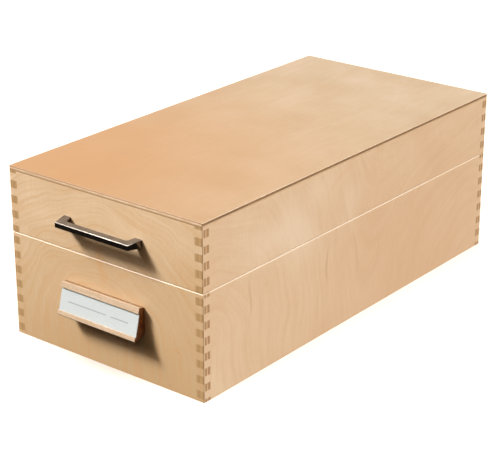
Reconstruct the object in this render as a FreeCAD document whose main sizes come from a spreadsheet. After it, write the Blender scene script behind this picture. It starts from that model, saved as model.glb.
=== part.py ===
import FreeCAD, Part
import os
import re
import Sketcher

# Archival card box. Finger-jointed plywood walls and a thin top are glued up as one
# closed case, which is then sawn round into a body and a lid. Two stop hinges join
# them at the back, a bar pull lifts the lid, and a beech block on the body's front
# holds a label behind a clear strip. Millimetres, +Z up, front towards -Y, origin at
# the centre of the underside.

sizes = {
    # Case
    "boxWidth": (172, "outside, X"),
    "boxDepth": (344, "outside, Y"),
    "boxHeight": (126, "outside, Z, with the lid closed"),
    "wall": (6.5, "five-ply wall"),
    "topThickness": (3.2, "three-ply top, glued flush on the walls"),
    "bottomThickness": (4, "bottom panel"),
    "rebate": (3, "depth of the rebate that holds the bottom panel"),
    "splitHeight": (77.3, "top of the body's walls"),
    "restGap": (0.4, "gap between lid and body when closed"),
    "sawKerf": (3.4, "wood lost where the lid was sawn off"),
    # Finger joints
    "fingerPitch": (11.05, "one finger and one gap"),
    "fingerStart": (2.45, "underside to the first side-wall finger"),
    "splitFinger": (7, "fingers below the saw cut"),
    "bodyFingers": (7, "side-wall fingers in the body's corners"),
    "lidFingers": (5, "side-wall fingers in the lid's corners"),
    "bodySlots": (8, "gaps beside them in the body's side walls"),
    "lidSlots": (4, "gaps beside them in the lid's side walls"),
    "overcut": (2, "how far a cutter runs past an edge"),
    # Bar pull
    "handleHeight": (98.9, "centre line above the underside"),
    "handleSpan": (64, "between the screws"),
    "handleFoot": (70.6, "length at the wall"),
    "handleGrip": (65.2, "length at the front of the grip"),
    "handleReach": (11.4, "stands out from the wall"),
    "gripDepth": (5.3, "front to back"),
    "gripHeight": (4, "at the front"),
    "footHeight": (5.9, "at the wall"),
    "gripCorner": (2.4, "radius inside the corners"),
    # Label block
    "blockLength": (70.8, "along X"),
    "blockTop": (55.2, "top front edge above the underside"),
    "blockReach": (4.7, "top front edge out from the wall"),
    "blockTilt": (14.4, "degrees that the face leans back"),
    "blockFace": (24.6, "length of the face down its slope"),
    "blockBack": (19.4, "top front edge down to the back's lower edge"),
    "blockNose": (0.9, "radius of the lower front edge"),
    "lipTop": (4.3, "face above the label window"),
    "windowHeight": (15.8, "label window down the slope"),
    "lipDepth": (0.6, "wood in front of the label groove"),
    "grooveDepth": (0.9, "label groove, front to back"),
    "grooveReach": (1.2, "label groove behind each lip"),
    "labelFit": (0.15, "play of the label in its groove"),
    "cardThickness": (0.25, "paper card"),
    "coverThickness": (0.35, "clear strip in front of the card"),
    "labelShort": (0.4, "label shorter than the block"),
    # Hinges
    "hingeOffset": (50, "centre of each hinge from the middle"),
    "hingeLength": (30, "along the pin"),
    "hingeLeaf": (15, "pin to the end of a leaf"),
    "leafThickness": (1, "sheet"),
    "barrelRadius": (2.2, "outside of a knuckle"),
    "barrelOut": (2.5, "pin out from the back wall"),
    "knuckleGap": (0.3, "between knuckles"),
    "leafGap": (0.4, "leaf or stop to the other leaf's knuckles"),
    "pinRadius": (1, "hinge pin"),
    "pinFit": (0.05, "radial play in the lid's knuckles"),
    "pinHead": (1.6, "radius of a pin's head"),
    "pinHeadLength": (0.7, "length of a pin's head"),
    "stopAngle": (51.5, "degrees of each stop tab from level"),
    "stopReach": (6, "pin to the end of a stop tab"),
    # Screws
    "handleScrewRadius": (1.5, "machine screw in the pull"),
    "handleScrewLength": (12, "under the head"),
    "blockScrewRadius": (1.25, "wood screw in the label block"),
    "blockScrewLength": (11.5, "under the head"),
    "blockScrewSpan": (44, "between the screws"),
    "blockScrewHeight": (43.2, "above the underside"),
    "panHeadRadius": (2.7, "pan head"),
    "panHeadHeight": (1.7, "pan head"),
    "hingeScrewRadius": (0.9, "wood screw in the hinges"),
    "hingeScrewLength": (5.8, "with its head"),
    "hingeScrewHead": (1.9, "countersunk head"),
    "hingeScrewSpan": (19, "between a leaf's screws"),
    "hingeScrewOut": (9.5, "screws from the pin, down a leaf"),
}

doc = FreeCAD.newDocument("ArchivalBox")
sheet = doc.addObject("Spreadsheet::Sheet", "Sizes")
subParts = []


def fillSheet():
    for row, (alias, (value, note)) in enumerate(sizes.items(), start=1):
        sheet.set(f"A{row}", alias)
        sheet.set(f"B{row}", str(value))
        sheet.setAlias(f"B{row}", alias)
        sheet.set(f"C{row}", note)
    doc.recompute()


def size(alias):
    return sizes[alias][0]


def bind(item, path, text):
    """Bind a property to an expression written with the sheet's aliases."""
    known = re.sub(r"[a-z][A-Za-z]+", lambda w: f"Sizes.{w[0]}" if w[0] in sizes else w[0], text)
    item.setExpression(path, known)


def bindPlace(item, path, place):
    for axis, text in zip("xyz", place):
        if text != "0":
            bind(item, f"{path}.Base.{axis}", text)


def keep(item, label):
    """Give a finished sub-part its own label and list it for export."""
    item.Label = label
    subParts.append(item)
    return item


# Sketched bodies

def newBody(name, place=("0", "0", "0")):
    body = doc.addObject("PartDesign::Body", name)
    bindPlace(body, "Placement", place)
    return body


def originFeature(body, role):
    return next(item for item in body.Origin.OriginFeatures if item.Role == role)


def newSketch(body, name, plane, place=("0", "0", "0"), turn="0"):
    sketch = body.newObject("Sketcher::SketchObject", name)
    sketch.AttachmentSupport = [(originFeature(body, plane), "")]
    sketch.MapMode = "FlatFace"
    bindPlace(sketch, "AttachmentOffset", place)
    if turn != "0":
        bind(sketch, "AttachmentOffset.Rotation.Angle", turn)
    return sketch


def drawOutline(sketch, points):
    """Draw a closed outline whose corners are held by expressions."""
    first = sketch.GeometryCount
    count = len(points)
    rough = [FreeCAD.Vector(i, i * i, 0) for i in range(count)]
    for i in range(count):
        sketch.addGeometry(Part.LineSegment(rough[i], rough[(i + 1) % count]), False)
    for i in range(count):
        line, following = first + i, first + (i + 1) % count
        sketch.addConstraint(Sketcher.Constraint("Coincident", line, 2, following, 1))
    for i, (across, up) in enumerate(points):
        for kind, axis, text in (("DistanceX", -2, across), ("DistanceY", -1, up)):
            if text == "0":
                sketch.addConstraint(Sketcher.Constraint("PointOnObject", first + i, 1, axis))
            else:
                index = sketch.addConstraint(Sketcher.Constraint(kind, -1, 1, first + i, 1, 1.0))
                bind(sketch, f"Constraints[{index}]", text)


def drawRectangle(sketch, width, height):
    drawOutline(sketch, [("0", "0"), (width, "0"), (width, height), ("0", height)])


def sweepSketch(body, kind, name, sketch, length, flip=False, centred=False):
    feature = body.newObject(f"PartDesign::{kind}", name)
    feature.Profile = sketch
    feature.Reversed = flip
    if centred:
        feature.SideType = "Symmetric"
    bind(feature, "Length", length)
    sketch.Visibility = False
    return feature


def repeatUp(body, name, feature, pitch, count):
    pattern = body.newObject("PartDesign::LinearPattern", name)
    pattern.Originals = [feature]
    pattern.Direction = (originFeature(body, "Z_Axis"), [""])
    bind(pattern, "Length", f"({count} - 1) * {pitch}")
    bind(pattern, "Occurrences", count)
    body.Tip = pattern


def notchEnds(body, plane, length, start, count, flip):
    """Cut the finger joint's gaps into both ends of a wall."""
    ends = (("Near", f"-{length} / 2 - overcut"), ("Far", f"{length} / 2 - wall"))
    for end, across in ends:
        sketch = newSketch(body, f"{body.Name}{end}Gap", plane, (across, start, "0"))
        drawRectangle(sketch, "wall + overcut", "fingerPitch / 2")
        pocket = sweepSketch(body, "Pocket", f"{body.Name}{end}Notch", sketch, "wall", flip)
        repeatUp(body, f"{body.Name}{end}Notches", pocket, "fingerPitch", count)


def endWall(name, place, height, start, count):
    """A wall across X, cut back where the side walls' fingers pass."""
    body = newBody(name, place)
    outline = newSketch(body, f"{name}Outline", "XZ_Plane", ("-boxWidth / 2", "0", "0"))
    drawRectangle(outline, "boxWidth", height)
    sweepSketch(body, "Pad", f"{name}Board", outline, "wall", flip=True)
    notchEnds(body, "XZ_Plane", "boxWidth", start, count, flip=False)
    return body


def sideWall(name, place, height, start, count):
    """A wall along Y, cut back where the end walls' fingers pass."""
    body = newBody(name, place)
    outline = newSketch(body, f"{name}Outline", "YZ_Plane", ("-boxDepth / 2", "0", "0"))
    drawRectangle(outline, "boxDepth", height)
    sweepSketch(body, "Pad", f"{name}Board", outline, "wall")
    notchEnds(body, "YZ_Plane", "boxDepth", start, count, flip=True)
    return body


def cutRebate(body, plane, length, inner, flip):
    """Cut the rebate for the bottom panel along a wall's inner face."""
    half = f"({length} / 2 - wall + rebate)"
    sketch = newSketch(body, f"{body.Name}RebateOutline", plane, (f"-{half}", "-overcut", inner))
    drawRectangle(sketch, f"2 * {half}", "bottomThickness + overcut")
    sweepSketch(body, "Pocket", f"{body.Name}Rebate", sketch, "rebate", flip)


# Part primitives

def cut(name, base, tool):
    item = doc.addObject("Part::Cut", name)
    item.Base, item.Tool = base, tool
    return item


def fuse(name, shapes):
    item = doc.addObject("Part::MultiFuse", name)
    item.Shapes = shapes
    return item


def group(name, shapes):
    item = doc.addObject("Part::Compound", name)
    item.Links = shapes
    return item


def turned(item, axis, degrees):
    item.Placement = FreeCAD.Placement(FreeCAD.Vector(), FreeCAD.Rotation(axis, degrees))


def block(name, place, length, width, height):
    item = doc.addObject("Part::Box", name)
    bindPlace(item, "Placement", place)
    for path, text in (("Length", length), ("Width", width), ("Height", height)):
        bind(item, path, text)
    return item


def rodAlongX(name, place, radius, length):
    item = doc.addObject("Part::Cylinder", name)
    turned(item, FreeCAD.Vector(0, 1, 0), 90)
    bindPlace(item, "Placement", place)
    bind(item, "Radius", radius)
    bind(item, "Height", length)
    return item


def rodForward(name, place, radius, length):
    """A cylinder that starts at its place and runs towards -Y."""
    item = doc.addObject("Part::Cylinder", name)
    turned(item, FreeCAD.Vector(1, 0, 0), 90)
    bindPlace(item, "Placement", place)
    bind(item, "Radius", radius)
    bind(item, "Height", length)
    return item


def panScrew(name, place, radius, length):
    """A pan-head screw that points towards -Y, seated at its place."""
    x, y, z = place
    head = rodForward(f"{name}Head", (x, f"{y} + panHeadHeight", z), "panHeadRadius", "panHeadHeight")
    shank = rodForward(f"{name}Shank", place, radius, length)
    return fuse(name, [head, shank])


def flushScrew(name, place):
    """A countersunk hinge screw that points towards -Y, flush at its place."""
    head = doc.addObject("Part::Cone", f"{name}Head")
    turned(head, FreeCAD.Vector(1, 0, 0), 90)
    bindPlace(head, "Placement", place)
    bind(head, "Radius1", "hingeScrewHead")
    bind(head, "Radius2", "hingeScrewRadius")
    bind(head, "Height", "leafThickness")
    shank = rodForward(f"{name}Shank", place, "hingeScrewRadius", "hingeScrewLength")
    return fuse(name, [head, shank])


# Sub-parts

def makeCaseWalls():
    """Body and lid walls; the finger joint runs on across the saw cut."""
    lidLow = "splitHeight + restGap"
    lidRise = "boxHeight - topThickness - splitHeight - restGap"
    sawn = "fingerStart + splitFinger * fingerPitch - sawKerf - splitHeight"
    low, high = "-boxDepth / 2", "boxDepth / 2 - wall"
    left, right = "-boxWidth / 2", "boxWidth / 2 - wall"
    walls = {}
    for part, z, rise, start, fingers, slots, slotStart in (
        ("body", "0", "splitHeight", "fingerStart", "bodyFingers", "bodySlots",
         "fingerStart - fingerPitch / 2"),
        ("lid", lidLow, lidRise, sawn, "lidFingers", "lidSlots", f"{sawn} + fingerPitch / 2"),
    ):
        for side, y in (("Front", low), ("Back", high)):
            walls[part + side] = endWall(f"{part}{side}Wall", ("0", y, z), rise, start, fingers)
        for side, x in (("Left", left), ("Right", right)):
            walls[part + side] = sideWall(f"{part}{side}Wall", (x, "0", z), rise, slotStart, slots)
    cutRebate(walls["bodyFront"], "XZ_Plane", "boxWidth", "-wall", flip=True)
    cutRebate(walls["bodyBack"], "XZ_Plane", "boxWidth", "0", flip=False)
    cutRebate(walls["bodyLeft"], "YZ_Plane", "boxDepth", "wall", flip=False)
    cutRebate(walls["bodyRight"], "YZ_Plane", "boxDepth", "0", flip=True)
    for part in ("body", "lid"):
        for side in ("Left", "Right"):
            keep(walls[part + side], f"{part}_{side.lower()}_panel")
    return walls


def makeFlatPanel(name, label, z, width, depth, thickness):
    panel = newBody(name, ("0", "0", z))
    corner = (f"-({width}) / 2", f"-({depth}) / 2", "0")
    outline = newSketch(panel, f"{name}Outline", "XY_Plane", corner)
    drawRectangle(outline, width, depth)
    sweepSketch(panel, "Pad", f"{name}Board", outline, thickness)
    keep(panel, label)


def makeHandle():
    """Bar pull: splayed feet, tapering from the wall to the grip."""
    handle = newBody("pull", ("0", "-boxDepth / 2", "handleHeight"))
    footIn = "(handleFoot / 2 - (handleFoot - handleSpan))"
    gripIn = "(handleReach - gripDepth)"
    innerHalf = f"({footIn} - (handleFoot - handleGrip) / 2 * {gripIn} / handleReach)"
    plan = newSketch(handle, "pullPlan", "XY_Plane")
    drawOutline(plan, [
        ("-handleFoot / 2", "0"), ("-handleGrip / 2", "-handleReach"),
        ("handleGrip / 2", "-handleReach"), ("handleFoot / 2", "0"),
        (footIn, "0"), (innerHalf, f"-{gripIn}"),
        (f"-{innerHalf}", f"-{gripIn}"), (f"-{footIn}", "0"),
    ])
    sweepSketch(handle, "Pad", "pullBar", plan, "footHeight", centred=True)
    for end, sign in (("Top", ""), ("Under", "-")):
        wedge = newSketch(handle, f"pull{end}Wedge", "YZ_Plane")
        drawOutline(wedge, [
            ("0", f"{sign}footHeight / 2"), ("-handleReach", f"{sign}footHeight / 2"),
            ("-handleReach", f"{sign}gripHeight / 2"),
        ])
        pocket = sweepSketch(handle, "Pocket", f"pull{end}Taper", wedge, "2 * handleFoot", centred=True)
    doc.recompute()
    corner = size("handleReach") - size("gripDepth")
    inner = [
        f"Edge{number}" for number, edge in enumerate(pocket.Shape.Edges, start=1)
        if all(abs(v.Y + corner) < 0.01 for v in edge.Vertexes)
        and abs(edge.Vertexes[0].X - edge.Vertexes[-1].X) < 0.01
    ]
    rounding = handle.newObject("PartDesign::Fillet", "pullCorners")
    rounding.Base = (pocket, inner)
    bind(rounding, "Radius", "gripCorner")
    return handle


def makeHandleScrews():
    screws = [
        panScrew(f"pullScrew{side}", (f"{sign}handleSpan / 2", "-boxDepth / 2 + wall", "handleHeight"),
                 "handleScrewRadius", "handleScrewLength")
        for side, sign in (("Left", "-"), ("Right", ""))
    ]
    return keep(group("pullScrews", screws), "handle_screws")


def faceOffset(down, inward):
    """Sketch or box corner on the label block's face: down its slope, then into it."""
    return (
        f"-blockReach - ({down}) * sin(blockTilt) + ({inward}) * cos(blockTilt)",
        f"-({down}) * cos(blockTilt) - ({inward}) * sin(blockTilt)",
    )


def makeLabelBlock():
    """Beech block with a leaning face, an undercut below it and a label groove."""
    holder = newBody("holder", ("0", "-boxDepth / 2", "blockTop"))
    section = newSketch(holder, "holderSection", "YZ_Plane")
    drawOutline(section, [
        ("-blockReach", "0"), ("0", "-blockReach * tan(blockTilt)"), ("0", "-blockBack"),
        faceOffset("blockFace", "0"),
    ])
    sweepSketch(holder, "Pad", "holderBar", section, "blockLength", centred=True)
    cuts = (
        ("Window", faceOffset("lipTop + windowHeight", "-overcut"), "overcut + lipDepth", "windowHeight"),
        ("Groove", faceOffset("lipTop + windowHeight + grooveReach", "lipDepth"), "grooveDepth",
         "windowHeight + 2 * grooveReach"),
    )
    for name, (y, z), width, height in cuts:
        sketch = newSketch(holder, f"holder{name}Outline", "YZ_Plane", (y, z, "0"), "-blockTilt")
        drawRectangle(sketch, width, height)
        pocket = sweepSketch(holder, "Pocket", f"holder{name}", sketch, "blockLength + overcut", centred=True)
    doc.recompute()
    low = min(vertex.Z for vertex in pocket.Shape.Vertexes)
    nose = [
        f"Edge{number}" for number, edge in enumerate(pocket.Shape.Edges, start=1)
        if all(abs(vertex.Z - low) < 0.01 for vertex in edge.Vertexes)
    ]
    rounding = holder.newObject("PartDesign::Fillet", "holderNose")
    rounding.Base = (pocket, nose)
    bind(rounding, "Radius", "blockNose")
    return holder


def makeBlockScrews():
    screws = [
        panScrew(f"holderScrew{side}",
                 (f"{sign}blockScrewSpan / 2", "-boxDepth / 2 + wall", "blockScrewHeight"),
                 "blockScrewRadius", "blockScrewLength")
        for side, sign in (("Left", "-"), ("Right", ""))
    ]
    return keep(group("holderScrews", screws), "label_block_screws")


def makeLabel():
    """Paper card and the clear strip in front of it, together in the groove."""
    tall = "(windowHeight + 2 * grooveReach - 2 * labelFit)"
    down = "lipTop + windowHeight + grooveReach - labelFit"
    layers = (
        ("label_cover", "lipDepth + labelFit", "coverThickness"),
        ("label_card", "lipDepth + labelFit + coverThickness", "cardThickness"),
    )
    for label, inward, thickness in layers:
        y, z = faceOffset(down, inward)
        place = ("-(blockLength - labelShort) / 2", f"-boxDepth / 2 + {y}", f"blockTop + {z}")
        strip = doc.addObject("Part::Box", label.replace("_", ""))
        turned(strip, FreeCAD.Vector(1, 0, 0), -size("blockTilt"))
        bindPlace(strip, "Placement", place)
        bind(strip, "Length", "blockLength - labelShort")
        bind(strip, "Width", thickness)
        bind(strip, "Height", tall)
        keep(strip, label)


def makeHingeScrews(part, sign):
    screws = [
        flushScrew(f"{part}HingeScrew{number}",
                   (f"{side}hingeOffset {along} hingeScrewSpan / 2", "boxDepth / 2 + leafThickness",
                    f"splitHeight + restGap / 2 {sign} hingeScrewOut"))
        for number, (side, along) in enumerate((s, a) for s in ("-", "") for a in ("-", "+"))
    ]
    return keep(group(f"{part}HingeScrews", screws), f"hinge_{part}_screws")


def makeHingeLeaf(name, side, lid, screws, label):
    """One leaf: plate, rolled knuckles and a stop tab behind the pin.

    The body's leaf has knuckles 1, 3 and 5, and the lid's has 2 and 4.
    """
    clear = "(barrelRadius + leafGap)"
    step = "(hingeLength / 5)"
    span = f"({step} * 3 - knuckleGap)"
    inner = "-barrelOut"
    low = clear if lid else "-hingeLeaf"
    pieces = [block(f"{name}Plate", ("-hingeLength / 2", inner, low), "hingeLength", "leafThickness",
                    f"hingeLeaf - {clear}")]
    tabs = [block(f"{name}Tab", (f"-{span} / 2", clear, "0" if lid else "-leafThickness"), span,
                  f"stopReach - {clear}", "leafThickness")]
    for number in (2, 4) if lid else (1, 3, 5):
        start = f"-hingeLength / 2 + {number - 1} * {step} + knuckleGap / 2"
        width = f"{step} - knuckleGap"
        pieces.append(rodAlongX(f"{name}Knuckle{number}", (start, "0", "0"), "barrelRadius", width))
        pieces.append(block(f"{name}Neck{number}", (start, inner, "0" if lid else f"-{clear}"), width,
                            "leafThickness", clear))
        if number in (2, 3, 4):
            tabs.append(block(f"{name}Root{number}", (start, "barrelRadius - leafThickness",
                              "0" if lid else "-leafThickness"), width,
                              "leafThickness + leafGap", "leafThickness"))
    tab = fuse(f"{name}Stop", tabs)
    turned(tab, FreeCAD.Vector(1, 0, 0), size("stopAngle") if lid else -size("stopAngle"))
    solid = fuse(f"{name}Solid", pieces + [tab])
    bore = rodAlongX(f"{name}Bore", ("-hingeLength / 2 - overcut", "0", "0"),
                     "pinRadius + pinFit" if lid else "pinRadius", "hingeLength + 2 * overcut")
    bored = cut(f"{name}Bored", solid, bore)
    place = (f"{side}hingeOffset", "boxDepth / 2 + barrelOut", "splitHeight + restGap / 2")
    bindPlace(bored, "Placement", place)
    keep(cut(f"{name}Leaf", bored, screws), label)


def makeHingePin(name, side, label):
    shaft = rodAlongX(f"{name}Shaft", ("-hingeLength / 2", "0", "0"), "pinRadius", "hingeLength")
    heads = [
        rodAlongX(f"{name}HeadLeft", ("-hingeLength / 2 - pinHeadLength + knuckleGap / 2", "0", "0"),
                  "pinHead", "pinHeadLength"),
        rodAlongX(f"{name}HeadRight", ("hingeLength / 2 - knuckleGap / 2", "0", "0"),
                  "pinHead", "pinHeadLength"),
    ]
    pin = fuse(name, [shaft] + heads)
    bindPlace(pin, "Placement", (f"{side}hingeOffset", "boxDepth / 2 + barrelOut", "splitHeight + restGap / 2"))
    keep(pin, label)


def makeHinges():
    screws = {part: makeHingeScrews(part, sign) for part, sign in (("body", "-"), ("lid", "+"))}
    for word, side in (("left", "-"), ("right", "")):
        for part in ("body", "lid"):
            makeHingeLeaf(f"{word}{part}", side, part == "lid", screws[part], f"{word}_hinge_{part}_leaf")
        makeHingePin(f"{word}Pin", side, f"{word}_hinge_pin")
    return screws


def makeBox():
    fillSheet()
    walls = makeCaseWalls()
    inside = "2 * wall - 2 * rebate"
    makeFlatPanel("bottom", "bottom_panel", "0", f"(boxWidth - ({inside}))", f"(boxDepth - ({inside}))",
                  "bottomThickness")
    makeFlatPanel("top", "lid_top_panel", "boxHeight - topThickness", "boxWidth", "boxDepth", "topThickness")
    handle, handleScrews = makeHandle(), makeHandleScrews()
    holder, blockScrews = makeLabelBlock(), makeBlockScrews()
    hingeScrews = makeHinges()
    makeLabel()
    drilled = (
        ("lid_front_panel", walls["lidFront"], handleScrews),
        ("lid_handle", handle, handleScrews),
        ("body_front_panel", walls["bodyFront"], blockScrews),
        ("label_block", holder, blockScrews),
        ("body_back_panel", walls["bodyBack"], hingeScrews["body"]),
        ("lid_back_panel", walls["lidBack"], hingeScrews["lid"]),
    )
    for label, blank, screws in drilled:
        keep(cut(label.replace("_", "") + "Drilled", blank, screws), label)
    doc.recompute()


def checkBox():
    """Stop if anything failed, or if a cut took nothing away."""
    for item in doc.Objects:
        if {"Invalid", "Error"} & set(item.State):
            raise RuntimeError(f"{item.Label} failed: {item.State}")
        if item.TypeId == "PartDesign::Pocket":
            before, after = item.BaseFeature.Shape.Volume, item.Shape.Volume
        elif item.TypeId == "Part::Cut":
            before, after = item.Base.Shape.Volume, item.Shape.Volume
        else:
            continue
        if after > before - 0.01:
            raise RuntimeError(f"{item.Label} cut nothing")
    for item in subParts:
        shape = item.Shape
        if shape.isNull() or not shape.isValid() or not shape.Solids:
            raise RuntimeError(f"{item.Label} has a bad shape")
        print(f"{item.Label:26s} {len(shape.Solids)} solid(s) {shape.Volume:10.1f} mm3")


def writeBox():
    os.makedirs("parts", exist_ok=True)
    for item in subParts:
        item.Shape.exportStep(f"parts/{item.Label}.step")


makeBox()
checkBox()
writeBox()
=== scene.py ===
import bmesh
import bpy
import math
from mathutils import Matrix, Vector


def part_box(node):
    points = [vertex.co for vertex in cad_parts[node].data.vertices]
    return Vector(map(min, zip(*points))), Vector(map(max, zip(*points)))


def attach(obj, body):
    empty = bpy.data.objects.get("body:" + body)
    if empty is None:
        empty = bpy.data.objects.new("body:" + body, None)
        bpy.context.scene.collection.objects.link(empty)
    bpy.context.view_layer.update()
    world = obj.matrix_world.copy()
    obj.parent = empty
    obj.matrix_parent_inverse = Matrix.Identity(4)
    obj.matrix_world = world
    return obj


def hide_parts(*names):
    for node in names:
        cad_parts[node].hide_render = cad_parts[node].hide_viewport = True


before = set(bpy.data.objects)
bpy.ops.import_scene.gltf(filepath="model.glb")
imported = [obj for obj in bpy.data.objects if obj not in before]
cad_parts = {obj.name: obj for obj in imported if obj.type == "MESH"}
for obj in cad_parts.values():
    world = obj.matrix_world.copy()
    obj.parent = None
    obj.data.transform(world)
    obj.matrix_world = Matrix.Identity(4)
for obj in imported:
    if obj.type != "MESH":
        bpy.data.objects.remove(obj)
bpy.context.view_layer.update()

mm = 0.001
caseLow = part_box("body_front_panel")[0]
caseHigh = Vector((
    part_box("body_front_panel")[1].x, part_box("body_back_panel")[1].y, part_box("lid_top_panel")[1].z,
))
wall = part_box("body_front_panel")[1].y - caseLow.y
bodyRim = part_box("body_front_panel")[1].z
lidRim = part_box("lid_front_panel")[0].z
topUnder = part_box("lid_top_panel")[0].z


# Small tools

inColour = {"data_type": "RGBA"}  # settings that many nodes share
eased = {"interpolation_type": "SMOOTHSTEP"}


def toLinear(code):
    channels = [int(code[i:i + 2], 16) / 255 for i in (1, 3, 5)]
    return [c / 12.92 if c <= 0.04045 else ((c + 0.055) / 1.055) ** 2.4 for c in channels] + [1.0]


def addNode(tree, kind, settings=None, inputs=None):
    # settings are the node's own properties, with stops for a ramp
    # each input is a value, a socket or a node
    node = tree.nodes.new("ShaderNode" + kind)
    for name, value in (settings or {}).items():
        if name != "stops":
            setattr(node, name, value)
            continue
        for extra in value[2:]:
            node.color_ramp.elements.new(extra[0])
        for element, (position, code) in zip(node.color_ramp.elements, value):
            element.position = position
            element.color = toLinear(code)
    for name, value in (inputs or {}).items():
        if isinstance(value, bpy.types.Node):
            value = next(output for output in value.outputs if output.enabled)
        if isinstance(value, bpy.types.NodeSocket):
            tree.links.new(value, node.inputs[name])
        else:
            node.inputs[name].default_value = value
    return node


def newMaterial(name):
    material = bpy.data.materials.new(name)
    material.use_nodes = True
    material.node_tree.nodes.clear()
    return material, material.node_tree


def millimetres(tree):
    place = addNode(tree, "TexCoord").outputs["Object"]
    return addNode(tree, "VectorMath", {"operation": "SCALE"}, {0: place, "Scale": 1 / mm})


def drawnOut(tree, place, sizes, detail):
    # a noise stretched to these sizes along X, Y and Z, in millimetres
    sizes = [1 / size for size in sizes]
    place = addNode(tree, "VectorMath", {"operation": "MULTIPLY"}, {0: place, 1: sizes})
    return addNode(tree, "TexNoise", None, {"Vector": place, "Scale": 1.0, "Detail": detail})


def surface(tree, inputs):
    shader = addNode(tree, "BsdfPrincipled", None, inputs)
    addNode(tree, "OutputMaterial", None, {"Surface": shader})


# Camera, light and floor

shot = {
    "azimuth": 38.42, "elevation": 22.24,  # degrees round the box and above it
    "lens": 115.3, "distance": 1.19125,  # millimetres, and metres from the aim
    "aimRight": -9.84 * mm, "aimUp": -16.87 * mm,  # aim, from the middle of the box
}
studio = {
    # each lamp is a set of discs, one inside the other, with degrees across and power
    "key": {"towards": (-0.64, -0.455, 0.728), "discs": [(13.0, 5.6), (38.0, 1.8)]},
    "fill": {"towards": (0.86, 0.40, 0.28), "discs": [(24.0, 2.9)]},  # from behind the front
    "back": {"towards": (0.36, 0.74, 0.57), "discs": [(16.0, 0.9)]},
    "wash": {"towards": (0.1, -0.3, 1.0), "discs": [(80.0, 4.3)]},  # over the floor
    "sky": "#ffe8cc", "skyLow": 0.04, "skyBack": 0.35, "skyTop": 0.6,
    "backSpan": (0.1, 0.8), "topSpan": (0.2, 0.9),  # where the sky starts and stops getting brighter
    "floor": "#f6f5f2", "floorMottle": "#f3f2ef", "mottleSize": 90, "floorHalf": 5.0,
    "backdrop": "#ffffff", "backdropRadius": 4.9,
}


def makeCamera():
    azimuth, elevation = math.radians(shot["azimuth"]), math.radians(shot["elevation"])
    back = Vector((
        math.sin(azimuth) * math.cos(elevation),
        -math.cos(azimuth) * math.cos(elevation),
        math.sin(elevation),
    ))
    right = Vector((math.cos(azimuth), math.sin(azimuth), 0))
    middle = (caseLow + caseHigh) / 2
    aim = middle + right * shot["aimRight"] + back.cross(right) * shot["aimUp"]
    data = bpy.data.cameras.new("camera")
    data.lens = shot["lens"]
    data.clip_start = 0.01
    camera = bpy.data.objects.new("camera", data)
    camera.location = aim + back * shot["distance"]
    camera.rotation_euler = (-back).to_track_quat("-Z", "Y").to_euler()
    bpy.context.scene.collection.objects.link(camera)
    bpy.context.scene.camera = camera


def makeLamp(name, floor, forFloor):
    # the wash lights only the floor, and the others light only what stands on it
    linked = bpy.data.collections.new(name + "Link")
    linked.objects.link(floor)
    linked.collection_objects[0].light_linking.link_state = "INCLUDE" if forFloor else "EXCLUDE"
    for size, power in studio[name]["discs"]:
        data = bpy.data.lights.new(name, "SUN")
        data.angle = math.radians(size)
        data.energy = power
        lamp = bpy.data.objects.new(name, data)
        lamp.rotation_euler = Vector(studio[name]["towards"]).to_track_quat("Z", "Y").to_euler()
        lamp.light_linking.receiver_collection = linked
        bpy.context.scene.collection.objects.link(lamp)


def makeStudio():
    world = bpy.data.worlds.new("studio")
    world.use_nodes = True
    tree = world.node_tree
    background = tree.nodes["Background"]
    background.inputs["Color"].default_value = toLinear(studio["sky"])
    # the room is brighter overhead and behind the box than in front of it
    towards = addNode(tree, "TexCoord").outputs["Generated"]
    towards = addNode(tree, "SeparateXYZ", None, {0: towards}).outputs
    behind = addNode(tree, "MapRange", eased, {
        "Value": towards["Y"], "From Min": studio["backSpan"][0], "From Max": studio["backSpan"][1],
        "To Min": studio["skyLow"], "To Max": studio["skyBack"],
    })
    over = addNode(tree, "MapRange", eased, {
        "Value": towards["Z"], "From Min": studio["topSpan"][0], "From Max": studio["topSpan"][1],
        "To Min": 0.0, "To Max": studio["skyTop"],
    })
    both = addNode(tree, "Math", {"operation": "ADD"}, {0: behind, 1: over})
    tree.links.new(both.outputs[0], background.inputs["Strength"])
    bpy.context.scene.world = world
    bpy.context.scene.view_settings.view_transform = "Standard"
    half = studio["floorHalf"]
    corners = [(-half, -half, 0), (half, -half, 0), (half, half, 0), (-half, half, 0)]
    mesh = bpy.data.meshes.new("floor")
    mesh.from_pydata(corners, [], [(0, 1, 2, 3)])
    floor = bpy.data.objects.new("floor", mesh)
    floor.data.materials.append(makePaperFloor())
    floor.visible_diffuse = False  # no glare from the floor, so that shadows on the box stay deep
    floor.visible_glossy = False
    bpy.context.scene.collection.objects.link(floor)
    for name in ("key", "fill", "back"):
        makeLamp(name, floor, False)
    makeLamp("wash", floor, True)
    makeBackdrop()


def makeBackdrop():
    # a pale dome behind everything, that only the camera sees
    shape = bmesh.new()
    bmesh.ops.create_uvsphere(shape, u_segments=48, v_segments=24, radius=studio["backdropRadius"])
    bmesh.ops.delete(shape, geom=[vertex for vertex in shape.verts if vertex.co.z < -mm], context="VERTS")
    mesh = bpy.data.meshes.new("backdrop")
    shape.to_mesh(mesh)
    shape.free()
    material, tree = newMaterial("paleBackdrop")
    glow = addNode(tree, "Emission", None, {"Color": toLinear(studio["backdrop"])})
    addNode(tree, "OutputMaterial", None, {"Surface": glow})
    mesh.materials.append(material)
    backdrop = bpy.data.objects.new("backdrop", mesh)
    backdrop.visible_diffuse = False
    backdrop.visible_glossy = False
    backdrop.visible_shadow = False
    bpy.context.scene.collection.objects.link(backdrop)


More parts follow.
